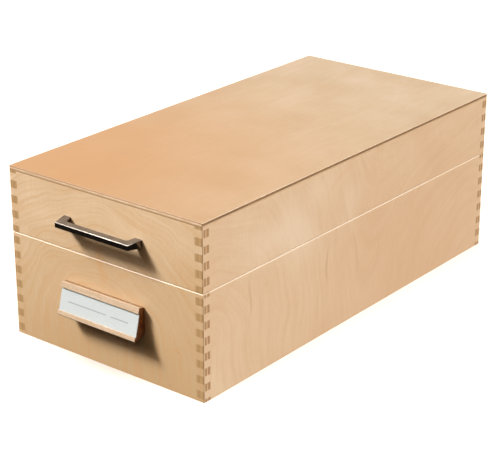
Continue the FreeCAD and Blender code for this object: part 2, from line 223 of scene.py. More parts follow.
def makePaperFloor():
    # seamless studio paper: pale and dull, with a faint mottle
    material, tree = newMaterial("seamlessPaper")
    place = millimetres(tree)
    mottle = addNode(tree, "TexNoise", None, {
        "Vector": place, "Scale": 1 / studio["mottleSize"], "Detail": 3.0,
    })
    stops = [(0.3, studio["floorMottle"]), (0.7, studio["floor"])]
    colour = addNode(tree, "ValToRGB", {"stops": stops}, {"Fac": mottle})
    surface(tree, {"Base Color": colour, "Roughness": 0.85, "IOR": 1.4})
    return material


# Wood

# Birch face veneer, rotary cut, sanded and sealed matt: pale, with soft arched growth lines, thin
# fibres along the grain and a few stray marks. Sizes in millimetres, turns in degrees.
# An arch is where its middle is, where it springs from, and how steeply it rises.
frontVeneer = {
    "name": "birchVeneerFront", "across": "X", "up": "Z", "facing": 1,
    "arches": [(-2, 25, 1.3)], "blend": 24, "ringPitch": 8.5, "wander": 30, "wanderSize": 42,
    "pale": "#e8cdac", "middle": "#e0c3a0", "deep": "#d8b892", "line": "#c59868", "lineStrength": 0.22,
    "streak": "#c8945e", "streakPitch": 2.6, "streakStrength": 0.42,
    # painted shade: the front veneer darkens towards its bottom right, where the light falls off
    "tintAndShade": {"code": "#be9c71", "from": (60, -172, -200), "near": 195, "far": 375, "strength": 0.85},
    "marks": [
        {"at": (64, -172, 30), "turn": -35, "size": (1.5, 8, 1.1), "code": "#8a4f2c", "strength": 0.85},
        {"at": (63, -172, 31), "turn": -35, "size": (7, 8, 4), "code": "#cf9a67", "strength": 0.5},
        {"at": (54, -172, 4), "turn": 0, "size": (0.8, 8, 0.8), "code": "#8f5a35", "strength": 0.7},
        {"at": (-3, -172, 70), "turn": 8, "size": (4.5, 8, 17), "code": "#d59a62", "strength": 0.45},
        {"at": (14, -172, 74), "turn": 62, "size": (3, 8, 20), "code": "#d59a62", "strength": 0.3},
    ],
}
sideVeneer = {
    "name": "birchVeneerSide", "across": "Y", "up": "Z", "facing": 0,
    "arches": [(-160, 35, 0.95), (172, -30, 1.1)], "blend": 110, "ringPitch": 13,
    "wander": 34, "wanderSize": 70,
    "pale": "#ddc1a0", "middle": "#dabb99", "deep": "#d6b491", "line": "#c0976f", "lineStrength": 0.15,
    "streak": "#c59a6e", "streakPitch": 3.4, "streakStrength": 0.24,
    "tintAndShade": {"code": "#cfa780", "from": (86, 60, -150), "near": 150, "far": 285, "strength": 0.5},
    "marks": [
        {"at": (86, -62, 95), "turn": 0, "size": (8, 105, 42), "code": "#e6d1b7", "strength": 0.65},
        {"at": (86, -122, 58), "turn": 0, "size": (8, 1.6, 24), "code": "#b98e66", "strength": 0.4},
        {"at": (86, -32, 56), "turn": 0, "size": (8, 1.6, 26), "code": "#b5875f", "strength": 0.5},
        {"at": (86, -1, 56), "turn": 6, "size": (8, 1.5, 24), "code": "#b5875f", "strength": 0.5},
        {"at": (86, 28, 56), "turn": -5, "size": (8, 1.6, 25), "code": "#b5875f", "strength": 0.55},
        {"at": (86, 57, 50), "turn": -28, "size": (8, 1.6, 22), "code": "#b98e66", "strength": 0.4},
        {"at": (86, -20, 112), "turn": -64, "size": (8, 4, 30), "code": "#d0935f", "strength": 0.4},
    ],
}
topVeneer = {
    "name": "birchVeneerTop", "across": "X", "up": "Y", "facing": 2,
    "arches": [(30, 400, 1.0)], "blend": 24, "ringPitch": 19, "wander": 30, "wanderSize": 110,
    "pale": "#a08f7c", "middle": "#9a8973", "deep": "#95816a", "line": "#8f7558", "lineStrength": 0.08,
    "streak": "#8f7355", "streakPitch": 4.0, "streakStrength": 0.22,
    "tintAndShade": {"code": "#9b7148", "from": (-86, -172, 126), "near": 20, "far": 330, "strength": 0.8},
    "marks": [{"at": (19, 155, 126), "turn": 0, "size": (4, 5, 8), "code": "#9a6c44", "strength": 0.35}],
}
insideVeneer = {
    "name": "birchVeneerInside", "across": "X", "up": "Y", "facing": 2,
    "arches": [(-20, 60, 0.5)], "blend": 24, "ringPitch": 9, "wander": 24, "wanderSize": 60,
    "pale": "#dfc09a", "middle": "#d8b68f", "deep": "#d0aa80", "line": "#bf9568", "lineStrength": 0.3,
    "streak": "#c2935f", "streakPitch": 3.0, "streakStrength": 0.35,
    "marks": [],
}
highlightArrisVeneer = {  # painted highlight: eased arrises are coloured paler than the wood there, for the bright line of light they catch; they are also polished smoother by hands
    "name": "birchArrisPaintedHighlight", "across": "X", "up": "Z", "facing": 1,
    "arches": [(0, 0, 1.0)], "blend": 24, "ringPitch": 30, "wander": 24, "wanderSize": 60,
    "pale": "#e2cab0", "middle": "#dec3a6", "deep": "#d7ba9a", "line": "#cfa77a", "lineStrength": 0.2,
    "streak": "#d0a980", "streakPitch": 9.0, "streakStrength": 0.4, "rough": (0.32, 0.44),
    "marks": [],
}
# painted highlight, paler still, for the brighter line along the side arrises
highlightSideArrisVeneer = {
    **highlightArrisVeneer, "name": "birchArrisPaintedHighlightSide",
    "pale": "#f3e3cd", "middle": "#eedcc4", "deep": "#e8d2b7", "line": "#d9b78f", "streak": "#dfc09b",
}
sealedRough = (0.44, 0.58)  # matt sealer, wherever hands haven't polished it
# Real fibres and pores are a tenth of this width, and are drawn coarser to show.
fibre = {"width": 0.55, "length": 16.0, "depth": 0.03 * mm, "strength": 0.13}
pore = {"width": 0.35, "length": 3.2, "code": "#9c7048", "strength": 0.16}
drifts = {"line": 42, "streak": 60, "tint": 60}  # how far apart each changes along the sheet


def nearestArch(tree, look, parts):
    # distance from the middle of the nearest arch, which is what the figure follows
    nearest = None
    for centre, spring, rise in look["arches"]:
        across = addNode(tree, "Math", {"operation": "SUBTRACT"}, {0: parts[look["across"]], 1: centre})
        above = addNode(tree, "Math", {"operation": "SUBTRACT"}, {0: parts[look["up"]], 1: spring})
        above = addNode(tree, "Math", {"operation": "MAXIMUM"}, {0: above, 1: 0.0})
        above = addNode(tree, "Math", {"operation": "MULTIPLY"}, {0: above, 1: rise})
        arch = addNode(tree, "CombineXYZ", None, {0: across, 1: above})
        arch = addNode(tree, "VectorMath", {"operation": "LENGTH"}, {0: arch}).outputs["Value"]
        if nearest:
            arch = addNode(tree, "Math", {"operation": "SMOOTH_MIN"}, {
                0: nearest, 1: arch, 2: look["blend"],
            })
        nearest = arch
    return nearest


def addMarks(tree, look, moved, colour):
    # soft oval stains, knots and mineral streaks
    for mark in look["marks"]:
        turned = [0, 0, 0]
        turned[look["facing"]] = math.radians(mark["turn"])
        local = addNode(tree, "Mapping", {"vector_type": "TEXTURE"}, {
            "Vector": moved, "Location": mark["at"], "Rotation": turned, "Scale": mark["size"],
        })
        near = addNode(tree, "VectorMath", {"operation": "LENGTH"}, {0: local})
        near = addNode(tree, "MapRange", eased, {
            "Value": near.outputs["Value"], "To Min": mark["strength"], "To Max": 0.0,
        })
        colour = addNode(tree, "Mix", inColour, {0: near, 6: colour, 7: toLinear(mark["code"])})
    return colour


def makeVeneer(look):
    material, tree = newMaterial(look["name"])
    place = millimetres(tree)
    # a slow noise pushes the whole figure about, so that no line is drawn with a compass
    slow = addNode(tree, "TexNoise", None, {
        "Vector": place, "Scale": 1 / look["wanderSize"], "Detail": 1.5,
    }).outputs["Color"]
    push = addNode(tree, "VectorMath", {"operation": "SUBTRACT"}, {0: slow, 1: (0.5, 0.5, 0.5)})
    push = addNode(tree, "VectorMath", {"operation": "SCALE"}, {0: push, "Scale": look["wander"]})
    moved = addNode(tree, "VectorMath", {"operation": "ADD"}, {0: place, 1: push})
    parts = addNode(tree, "SeparateXYZ", None, {0: moved}).outputs
    nearest = nearestArch(tree, look, parts)
    # growth lines: each darkens slowly and ends at once, as late wood does
    turn = addNode(tree, "Math", {"operation": "DIVIDE"}, {0: nearest, 1: look["ringPitch"]})
    turn = addNode(tree, "Math", {"operation": "FRACT"}, {0: turn})
    lines = addNode(tree, "ValToRGB", {"stops": [
        (0.0, "#000000"), (0.5, "#2a2a2a"), (0.82, "#ffffff"), (0.95, "#505050"), (1.0, "#000000"),
    ]}, {"Fac": turn})
    fade = addNode(tree, "TexNoise", None, {"Vector": place, "Scale": 1 / drifts["line"], "Detail": 2.0})
    fade = addNode(tree, "MapRange", None, {
        "Value": fade, "From Min": 0.38, "From Max": 0.66, "To Min": 0.0, "To Max": look["lineStrength"],
    })
    lines = addNode(tree, "Math", {"operation": "MULTIPLY"}, {0: lines, 1: fade})
    # uneven streaks that follow the growth lines
    streaks = addNode(tree, "CombineXYZ", None, {
        0: addNode(tree, "Math", {"operation": "DIVIDE"}, {0: nearest, 1: look["streakPitch"]}),
        1: addNode(tree, "Math", {"operation": "DIVIDE"}, {0: parts[look["up"]], 1: drifts["streak"]}),
        2: addNode(tree, "Math", {"operation": "DIVIDE"}, {0: parts[look["across"]], 1: drifts["streak"]}),
    })
    streaks = addNode(tree, "TexNoise", None, {
        "Vector": streaks, "Scale": 1.0, "Detail": 3.0, "Roughness": 0.6,
    })
    streaks = addNode(tree, "MapRange", None, {
        "Value": streaks, "From Min": 0.42, "From Max": 0.72,
        "To Min": 0.0, "To Max": look["streakStrength"],
    })
    # the veneer's own tint drifts between pale and deep
    drift = addNode(tree, "TexNoise", None, {
        "Vector": moved, "Scale": 1 / drifts["tint"], "Detail": 5.0, "Roughness": 0.62,
    })
    colour = addNode(tree, "ValToRGB", {"stops": [
        (0.32, look["deep"]), (0.5, look["middle"]), (0.68, look["pale"]),
    ]}, {"Fac": drift})
    tintAndShade = look.get("tintAndShade")
    if tintAndShade:  # towards one point the veneer takes a second colour: on the front it is painted shade, darker towards the bottom right where the light falls off; on the side and the top it is a warmer, darker tint towards one corner
        tintShadeShare = addNode(tree, "VectorMath", {"operation": "DISTANCE"}, {0: moved, 1: tintAndShade["from"]})
        tintShadeShare = addNode(tree, "MapRange", eased, {
            "Value": tintShadeShare.outputs["Value"], "From Min": tintAndShade["near"], "From Max": tintAndShade["far"],
            "To Min": tintAndShade["strength"], "To Max": 0.0,
        })
        colour = addNode(tree, "Mix", inColour, {0: tintShadeShare, 6: colour, 7: toLinear(tintAndShade["code"])})
    colour = addNode(tree, "Mix", inColour, {0: streaks, 6: colour, 7: toLinear(look["streak"])})
    colour = addNode(tree, "Mix", inColour, {0: lines, 6: colour, 7: toLinear(look["line"])})
    colour = addMarks(tree, look, moved, colour)
    # fibres and pores, drawn out along the grain
    sizes = [fibre["length"] if axis == look["up"] else fibre["width"] for axis in "XYZ"]
    strands = drawnOut(tree, place, sizes, 3.0)
    shade = addNode(tree, "MapRange", None, {
        "Value": strands, "From Min": 0.35, "From Max": 0.7, "To Min": 0.0, "To Max": fibre["strength"],
    })
    colour = addNode(tree, "Mix", inColour, {0: shade, 6: colour, 7: toLinear(look["line"])})
    sizes = [pore["length"] if axis == look["up"] else pore["width"] for axis in "XYZ"]
    dots = drawnOut(tree, place, sizes, 0.0)
    dots = addNode(tree, "MapRange", None, {
        "Value": dots, "From Min": 0.7, "From Max": 0.8, "To Min": 0.0, "To Max": pore["strength"],
    })
    colour = addNode(tree, "Mix", inColour, {0: dots, 6: colour, 7: toLinear(pore["code"])})
    low, high = look.get("rough", sealedRough)
    rough = addNode(tree, "MapRange", None, {"Value": strands, "To Min": low, "To Max": high})
    bump = addNode(tree, "Bump", None, {"Height": strands, "Strength": 0.35, "Distance": fibre["depth"]})
    surface(tree, {"Base Color": colour, "Roughness": rough, "Normal": bump, "IOR": 1.5})
    return material


# Sawn ply: long grain stays pale and end grain drinks the sealer and goes brown, so an edge is striped.
# Each ply is its share of the thickness from the outside face, and its colour.
longGrain, crossGrain = "#d9b790", "#a77e55"
wallPlies = [(0.0, longGrain), (0.18, crossGrain), (0.47, longGrain), (0.61, crossGrain), (0.95, longGrain)]
rimPlies = [(0.0, crossGrain), (0.2, longGrain), (0.5, crossGrain), (0.74, longGrain), (0.94, crossGrain)]
edges = {
    "endFingers": {
        "name": "plyEdgeEndWall", "axis": "Y", "outer": caseHigh.y, "thick": wall, "plies": wallPlies,
    },
    "sideFingers": {
        "name": "plyEdgeSideWall", "axis": "X", "outer": caseHigh.x, "thick": wall,
        "plies": [(0.0, "#b08a5c"), (0.22, "#ba9768"), (0.5, "#ae885a"), (0.76, "#ba9768")],
    },
    "endRim": {
        "name": "plyRimEndWall", "axis": "Y", "outer": caseHigh.y, "thick": wall, "plies": rimPlies,
    },
    "sideRim": {
        "name": "plyRimSideWall", "axis": "X", "outer": caseHigh.x, "thick": wall, "plies": rimPlies,
    },
    "topFront": {
        "name": "plyEdgeTopFront", "axis": "Z", "outer": caseHigh.z, "thick": caseHigh.z - topUnder,
        "plies": [(0.0, "#b98f68"), (0.3, "#ecd0b0"), (0.58, "#c4a07a"), (0.82, "#94704a")],
    },
    "topSide": {
        "name": "plyEdgeTopSide", "axis": "Z", "outer": caseHigh.z, "thick": caseHigh.z - topUnder,
        "plies": [(0.0, "#b89a78"), (0.18, "#7a5b3c"), (0.66, longGrain)],
    },
}
sawn = {
    "ragged": 0.035, "raggedSize": 1.6, "glueLine": 0.02,  # shares of the thickness, and millimetres
    "grit": "#8f6c44", "gritSize": 0.5, "gritStrength": 0.4,
    "blotch": "#ac8250", "blotchSize": 7, "blotchStrength": 0.3,
    "rough": 0.62, "depth": 0.05 * mm,
}


def makePlyEdge(look):
    material, tree = newMaterial(look["name"])
    place = millimetres(tree)
    depth = addNode(tree, "SeparateXYZ", None, {0: place}).outputs[look["axis"]]
    depth = addNode(tree, "Math", {"operation": "ABSOLUTE"}, {0: depth})
    depth = addNode(tree, "Math", {"operation": "SUBTRACT"}, {0: look["outer"] / mm, 1: depth})
    depth = addNode(tree, "Math", {"operation": "DIVIDE"}, {0: depth, 1: look["thick"] / mm})
    ragged = addNode(tree, "TexNoise", None, {
        "Vector": place, "Scale": 1 / sawn["raggedSize"], "Detail": 2.0,
    })
    ragged = addNode(tree, "MapRange", None, {
        "Value": ragged, "To Min": -sawn["ragged"], "To Max": sawn["ragged"],
    })
    depth = addNode(tree, "Math", {"operation": "ADD"}, {0: depth, 1: ragged})
    stops = []
    for number, (share, code) in enumerate(look["plies"]):
        if number:
            stops.append((share - sawn["glueLine"], look["plies"][number - 1][1]))
        stops.append((share + (sawn["glueLine"] if number else 0), code))
    colour = addNode(tree, "ValToRGB", {"stops": stops}, {"Fac": depth})
    grit = addNode(tree, "TexNoise", None, {"Vector": place, "Scale": 1 / sawn["gritSize"], "Detail": 3.0})
    shade = addNode(tree, "MapRange", None, {
        "Value": grit, "From Min": 0.4, "From Max": 0.75, "To Min": 0.0, "To Max": sawn["gritStrength"],
    })
    colour = addNode(tree, "Mix", inColour, {0: shade, 6: colour, 7: toLinear(sawn["grit"])})
    blotch = addNode(tree, "TexNoise", None, {
        "Vector": place, "Scale": 1 / sawn["blotchSize"], "Detail": 1.0,
    })
    blotch = addNode(tree, "MapRange", None, {
        "Value": blotch, "From Min": 0.4, "From Max": 0.65,
        "To Min": 0.0, "To Max": sawn["blotchStrength"],
    })
    colour = addNode(tree, "Mix", inColour, {0: blotch, 6: colour, 7: toLinear(sawn["blotch"])})
    bump = addNode(tree, "Bump", None, {"Height": grit, "Strength": 0.4, "Distance": sawn["depth"]})
    surface(tree, {"Base Color": colour, "Roughness": sawn["rough"], "Normal": bump, "IOR": 1.5})
    return material


beech = {
    "pale": "#c0aa92", "deep": "#b39779", "fleck": "#a07b59",
    "flecks": (2.4, 0.5), "strands": (22.0, 0.7),  # length and width, drawn twice the real width to show
    "rough": (0.54, 0.66), "depth": 0.03 * mm,
    "end": "#ad7444", "endDeep": "#8a5230", "endPore": "#6b3b20", "ringPitch": 14.0, "poreSize": 0.45,
    "endRough": 0.6, "endDepth": 0.04 * mm,
}


def makeBeech():
    # steamed beech, planed and waxed: warm pinkish tan with short dark flecks along the grain
    material, tree = newMaterial("steamedBeech")
    place = millimetres(tree)
    length, width = beech["strands"]
    strands = drawnOut(tree, place, (length, width, width), 3.0)
    stops = [(0.35, beech["deep"]), (0.65, beech["pale"])]
    colour = addNode(tree, "ValToRGB", {"stops": stops}, {"Fac": strands})
    length, width = beech["flecks"]
    flecks = drawnOut(tree, place, (length, width, width), 0.0)
    flecks = addNode(tree, "MapRange", None, {
        "Value": flecks, "From Min": 0.62, "From Max": 0.72, "To Min": 0.0, "To Max": 0.5,
    })
    colour = addNode(tree, "Mix", inColour, {0: flecks, 6: colour, 7: toLinear(beech["fleck"])})
    low, high = beech["rough"]
    rough = addNode(tree, "MapRange", None, {"Value": strands, "To Min": low, "To Max": high})
    bump = addNode(tree, "Bump", None, {"Height": strands, "Strength": 0.3, "Distance": beech["depth"]})
    surface(tree, {
        "Base Color": colour, "Roughness": rough, "Normal": bump, "IOR": 1.5, "Specular IOR Level": 0.25,
    })
    return material


def makeBeechEnd():
    # the same beech cut across: darker, with fine dots and faint growth rings
    material, tree = newMaterial("steamedBeechEndGrain")
    place = millimetres(tree)
    rings = addNode(tree, "TexNoise", None, {
        "Vector": place, "Scale": 1 / beech["ringPitch"], "Detail": 1.0,
    })
    rings = addNode(tree, "Math", {"operation": "MULTIPLY"}, {0: rings, 1: beech["ringPitch"]})
    rings = addNode(tree, "Math", {"operation": "FRACT"}, {0: rings})
    stops = [(0.1, beech["end"]), (0.9, beech["endDeep"])]
    colour = addNode(tree, "ValToRGB", {"stops": stops}, {"Fac": rings})
    dots = addNode(tree, "TexNoise", None, {
        "Vector": place, "Scale": 1 / beech["poreSize"], "Detail": 1.0,
    })
    shade = addNode(tree, "MapRange", None, {
        "Value": dots, "From Min": 0.5, "From Max": 0.7, "To Min": 0.0, "To Max": 0.5,
    })
    colour = addNode(tree, "Mix", inColour, {0: shade, 6: colour, 7: toLinear(beech["endPore"])})
    bump = addNode(tree, "Bump", None, {"Height": dots, "Strength": 0.4, "Distance": beech["endDepth"]})
    surface(tree, {"Base Color": colour, "Roughness": beech["endRough"], "Normal": bump, "IOR": 1.5})
    return material


# Metal, card and clear strip

# The brush is the size of its scratches along X, Y and Z, and depth is how deep they are, in millimetres.
metals = {
    # oiled dark bronze on cast zinc: brown-black, with a dull gloss and brighter rubbed edges
    "bronze": {
        "name": "darkBronze", "low": "#69625b", "high": "#7a736a", "rough": (0.2, 0.28),
        "brush": (9.0, 0.3, 0.3), "depth": 0.004,
    },
    "bronzeEdge": {
        "name": "darkBronzeRubbed", "low": "#746e67", "high": "#877f76", "rough": (0.36, 0.44),
        "brush": (6.0, 0.8, 0.8), "depth": 0.001,
    },
    # nickel-plated steel: pale, slightly warm, with faint rolling lines along the hinge
    "nickel": {
        "name": "nickelPlatedSteel", "low": "#a9a398", "high": "#b5afa4", "rough": (0.42, 0.5),
        "brush": (10.0, 0.3, 0.3), "depth": 0.002,
    },
    # zinc-plated screws: cooler and duller than the hinges
    "zinc": {
        "name": "zincPlatedSteel", "low": "#9a9c9d", "high": "#bfc1c0", "rough": (0.3, 0.48),
        "brush": (0.5, 0.5, 0.5), "depth": 0.01,
    },
}
cloudSize = 5  # millimetres across the faint patches in every plating


def makeMetal(look):
    material, tree = newMaterial(look["name"])
    place = millimetres(tree)
    brush = drawnOut(tree, place, look["brush"], 3.0)
    cloud = addNode(tree, "TexNoise", None, {"Vector": place, "Scale": 1 / cloudSize, "Detail": 2.0})
    stops = [(0.35, look["low"]), (0.65, look["high"])]
    colour = addNode(tree, "ValToRGB", {"stops": stops}, {"Fac": cloud})
    low, high = look["rough"]
    rough = addNode(tree, "MapRange", None, {
        "Value": brush, "From Min": 0.3, "From Max": 0.7, "To Min": low, "To Max": high,
    })
    bump = addNode(tree, "Bump", None, {"Height": brush, "Strength": 0.3, "Distance": look["depth"] * mm})
    surface(tree, {"Base Color": colour, "Metallic": 1.0, "Roughness": rough, "Normal": bump})
    return material


card = {
    "paper": "#c4c7c6", "shade": "#bdc0bf", "ink": "#999c9b",
    "rules": [(-28, 7), (11, 27)],  # plain printed rules, from and to along the card
    "ruleHeight": 0.7, "ruleShare": 0.47,  # their thickness, and how far up the card they are
    "pulpSize": 0.8, "rough": 0.75, "depth": 0.02 * mm,
}
film = {"haze": 6, "rough": (0.1, 0.2), "tint": (0.985, 0.99, 0.99, 1)}  # haze is millimetres across


def makeCardPaper():
    # index card: white, uncoated, with plain grey rules to write on
    material, tree = newMaterial("indexCard")
    place = millimetres(tree)
    pulp = addNode(tree, "TexNoise", None, {"Vector": place, "Scale": 1 / card["pulpSize"], "Detail": 4.0})
    stops = [(0.35, card["shade"]), (0.65, card["paper"])]
    colour = addNode(tree, "ValToRGB", {"stops": stops}, {"Fac": pulp})
    parts = addNode(tree, "SeparateXYZ", None, {0: place}).outputs
    low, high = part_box("label_card")
    height = (low.z + (high.z - low.z) * card["ruleShare"]) / mm
    level = addNode(tree, "Math", {"operation": "SUBTRACT"}, {0: parts["Z"], 1: height})
    level = addNode(tree, "Math", {"operation": "ABSOLUTE"}, {0: level})
    level = addNode(tree, "Math", {"operation": "LESS_THAN"}, {0: level, 1: card["ruleHeight"] / 2})
    for start, end in card["rules"]:
        along = addNode(tree, "Math", {"operation": "SUBTRACT"}, {0: parts["X"], 1: (start + end) / 2})
        along = addNode(tree, "Math", {"operation": "ABSOLUTE"}, {0: along})
        along = addNode(tree, "Math", {"operation": "LESS_THAN"}, {0: along, 1: (end - start) / 2})
        printed = addNode(tree, "Math", {"operation": "MULTIPLY"}, {0: along, 1: level})
        colour = addNode(tree, "Mix", inColour, {0: printed, 6: colour, 7: toLinear(card["ink"])})
    bump = addNode(tree, "Bump", None, {"Height": pulp, "Strength": 0.2, "Distance": card["depth"]})
    surface(tree, {"Base Color": colour, "Roughness": card["rough"], "Normal": bump, "IOR": 1.45})
    return material


def makeClearStrip():
    # clear rigid film: the card shows through, and only a soft sheen says that it is there
    material, tree = newMaterial("clearFilm")
    place = millimetres(tree)
    haze = addNode(tree, "TexNoise", None, {"Vector": place, "Scale": 1 / film["haze"], "Detail": 2.0})
    low, high = film["rough"]
    rough = addNode(tree, "MapRange", None, {"Value": haze, "To Min": low, "To Max": high})
    sheen = addNode(tree, "BsdfGlossy", None, {"Color": (1, 1, 1, 1), "Roughness": rough})
    through = addNode(tree, "BsdfTransparent", None, {"Color": film["tint"]})
    share = addNode(tree, "Fresnel", None, {"IOR": 1.49})
    # only the outside of each face has a sheen, or the film would look milky
    inner = addNode(tree, "NewGeometry").outputs["Backfacing"]
    outer = addNode(tree, "Math", {"operation": "SUBTRACT"}, {0: 1.0, 1: inner})
    share = addNode(tree, "Math", {"operation": "MULTIPLY"}, {0: share, 1: outer})
    both = addNode(tree, "MixShader", None, {0: share, 1: through, 2: sheen})
    addNode(tree, "OutputMaterial", None, {"Surface": both})
    return material


# Shapes

smoothBelow = math.radians(30)  # an edge that turns less than this is part of a curve
flatBelow = math.radians(0.5)  # and one that turns less than this isn't there
welded = 0.001 * mm  # points nearer than this are one point
touch = 0.01 * mm  # and nearer than this to a plane is on it


def takeShape(node):
    # a welded copy of a node's mesh with its flat faces whole again
    shape = bmesh.new()
    shape.from_mesh(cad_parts[node].data)
    bmesh.ops.remove_doubles(shape, verts=shape.verts, dist=welded)
    bmesh.ops.dissolve_limit(shape, angle_limit=flatBelow, verts=shape.verts, edges=shape.edges)
    bmesh.ops.recalc_face_normals(shape, faces=shape.faces)
    return shape


def linkMesh(name, mesh, materials, body):
    piece = bpy.data.objects.new(name, mesh)
    for material in materials:
        mesh.materials.append(material)
    bpy.context.scene.collection.objects.link(piece)
    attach(piece, body)
    return piece


def roundEdges(shape, name, weights, width, segments=3, clamp=True):
    # weights maps an edge to its share of the width; the result is a plain mesh with the rounding in it
    layer = shape.edges.layers.float.new("bevel_weight_edge")
    for edge in shape.edges:
        edge[layer] = weights(edge)
        edge.smooth = edge[layer] > 0 or sharpness(edge) < smoothBelow
    rough = bpy.data.meshes.new(name + "Rough")
    shape.to_mesh(rough)
    shape.free()
    for polygon in rough.polygons:
        polygon.use_smooth = True
    helper = bpy.data.objects.new(name + "Helper", rough)
    bpy.context.scene.collection.objects.link(helper)
    rounding = helper.modifiers.new("rounding", "BEVEL")
    rounding.limit_method = "WEIGHT"
    rounding.width = width
    rounding.segments = segments
    rounding.use_clamp_overlap = clamp
    rounding.miter_outer = "MITER_SHARP"
    shading = helper.modifiers.new("shading", "WEIGHTED_NORMAL")
    shading.keep_sharp = True  # and the weights keep the flats flat beside a rounded edge
    ready = helper.evaluated_get(bpy.context.evaluated_depsgraph_get())
    mesh = bpy.data.meshes.new_from_object(ready)
    mesh.name = name
    bpy.data.objects.remove(helper)
    bpy.data.meshes.remove(rough)
    return mesh


def sharpness(edge):
    return edge.calc_face_angle(0) if len(edge.link_faces) == 2 else 0


def sharperThan(degrees):
    return lambda edge: sharpness(edge) > math.radians(degrees)


# Easing of the case's outside edges: sanded most round the body's rim, and a hairline at each joint.
case = {
    "rim": 0.8 * mm, "top": 0.32 * mm, "corner": 0.5 * mm, "under": 0.1 * mm, "joint": 0.07 * mm,
}
# How far a face looks along an axis, from 0 to 1, says which surface it belongs to.
facing = {
    "rounded": (0.15, 0.98),  # on an eased edge, neither upright nor level
    "broad": 0.4, "broadAtCorner": 0.9, "corner": 0.2,  # a wall's own face stops sooner at a corner
    "level": 0.6, "right": 0.3,
}


def caseWeight(low, high):
    # an edge's easing comes from which sides of the body or lid it lies on
    def weight(edge):
        if sharpness(edge) < smoothBelow:
            return 0
        sides = [
            (axis, limit) for axis in range(3) for limit in (low[axis], high[axis])
            if all(abs(vertex.co[axis] - limit) < touch for vertex in edge.verts)
        ]
        if len(sides) < 2:
            return case["joint"] / case["rim"]
        if (2, high.z) in sides:
            return case["top" if high.z == caseHigh.z else "rim"] / case["rim"]
        return case["under" if (2, low.z) in sides else "corner"] / case["rim"]
    return weight


def makePanels(finish):
    bodyLow, bodyHigh = caseLow, Vector((caseHigh.x, caseHigh.y, bodyRim))
    lidLow, lidHigh = Vector((caseLow.x, caseLow.y, lidRim)), caseHigh
    roundedFrom, roundedTo = facing["rounded"]
    for part, body, low, high in (("body", "case_body", bodyLow, bodyHigh), ("lid", "lid", lidLow, lidHigh)):
        for side in ("front", "back", "left", "right"):
            node = f"{part}_{side}_panel"
            mesh = roundEdges(takeShape(node), node + "_eased", caseWeight(low, high), case["rim"])
            ends = side in ("front", "back")
            thick, length = (1, 0) if ends else (0, 1)
            materials = [finish[key] for key in (
                ("frontVeneer", "endFingers", "endRim", "arrisHighlight") if ends
                else ("sideVeneer", "sideFingers", "sideRim", "sideArrisHighlight")
            )]
            piece = linkMesh(node + "_eased", mesh, materials, body)
            for polygon in mesh.polygons:
                normal = [abs(value) for value in polygon.normal]
                broad = facing["broadAtCorner" if normal[length] > facing["corner"] else "broad"]
                # the rounded rim gets the painted highlight colour
                if polygon.center.z > high.z - case["rim"] and roundedFrom < normal[2] < roundedTo:
                    polygon.material_index = 3
                elif normal[thick] > broad:
                    polygon.material_index = 0
                else:
                    polygon.material_index = 1 if normal[length] > normal[2] else 2
            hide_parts(node)
    for node, body, slot, low, high in (
        ("lid_top_panel", "lid", "birch_top", lidLow, lidHigh),
        ("bottom_panel", "case_body", "birch_plywood", bodyLow, bodyHigh),
    ):
        mesh = roundEdges(takeShape(node), node + "_eased", caseWeight(low, high), case["rim"])
        face = "topVeneer" if node == "lid_top_panel" else "insideVeneer"
        materials = [finish[key] for key in (face, "topFront", "topSide", "arrisHighlight")]
        piece = linkMesh(node + "_eased", mesh, materials, body)
        for polygon in mesh.polygons:
            normal = [abs(value) for value in polygon.normal]
            # the top's rounded right-hand arris gets the painted highlight colour, its other roundings the
            # face veneer
            if polygon.center.z > caseHigh.z - case["top"] and roundedFrom < normal[2] < roundedTo:
                polygon.material_index = 3 if polygon.normal.x > facing["right"] else 0
            elif normal[2] > facing["level"]:
                polygon.material_index = 0
            else:
                polygon.material_index = 1 if normal[1] > normal[0] else 2
        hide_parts(node)
    print("panels done")


# The pull's grip and legs are rounded all along, and rubbed bright where the rounding turns up or down.
pull = {"edge": 0.5 * mm, "rubbed": (0.3, 0.95)}
# The moulding's long arrises are only broken, and its two ends show end grain.
holder = {"edge": 0.2 * mm, "endGrain": 0.85}
# The card and the film are cut clean, with a hair of air between them.
label = {"cardEdge": 0.04 * mm, "filmEdge": 0.06 * mm, "gap": 0.05 * mm, "corner": 40}
# The leaves and the pin are stamped and tumbled.
hinge = {"edge": 0.16 * mm, "corner": 60}
outline = {"facing": 0.9, "long": 20 * mm}


def outlineWeight(axis):
    # picks long edges and the outline of the two faces that look along an axis,
    # but leaves out the edges where the piece meets the wood
    def weight(edge):
        onWood = all(vertex.co.y > caseLow.y - touch for vertex in edge.verts)
        if onWood or sharpness(edge) < smoothBelow:
            return 0
        around = any(abs(face.normal[axis]) > outline["facing"] for face in edge.link_faces)
        return 1 if around or edge.calc_length() > outline["long"] else 0
    return weight


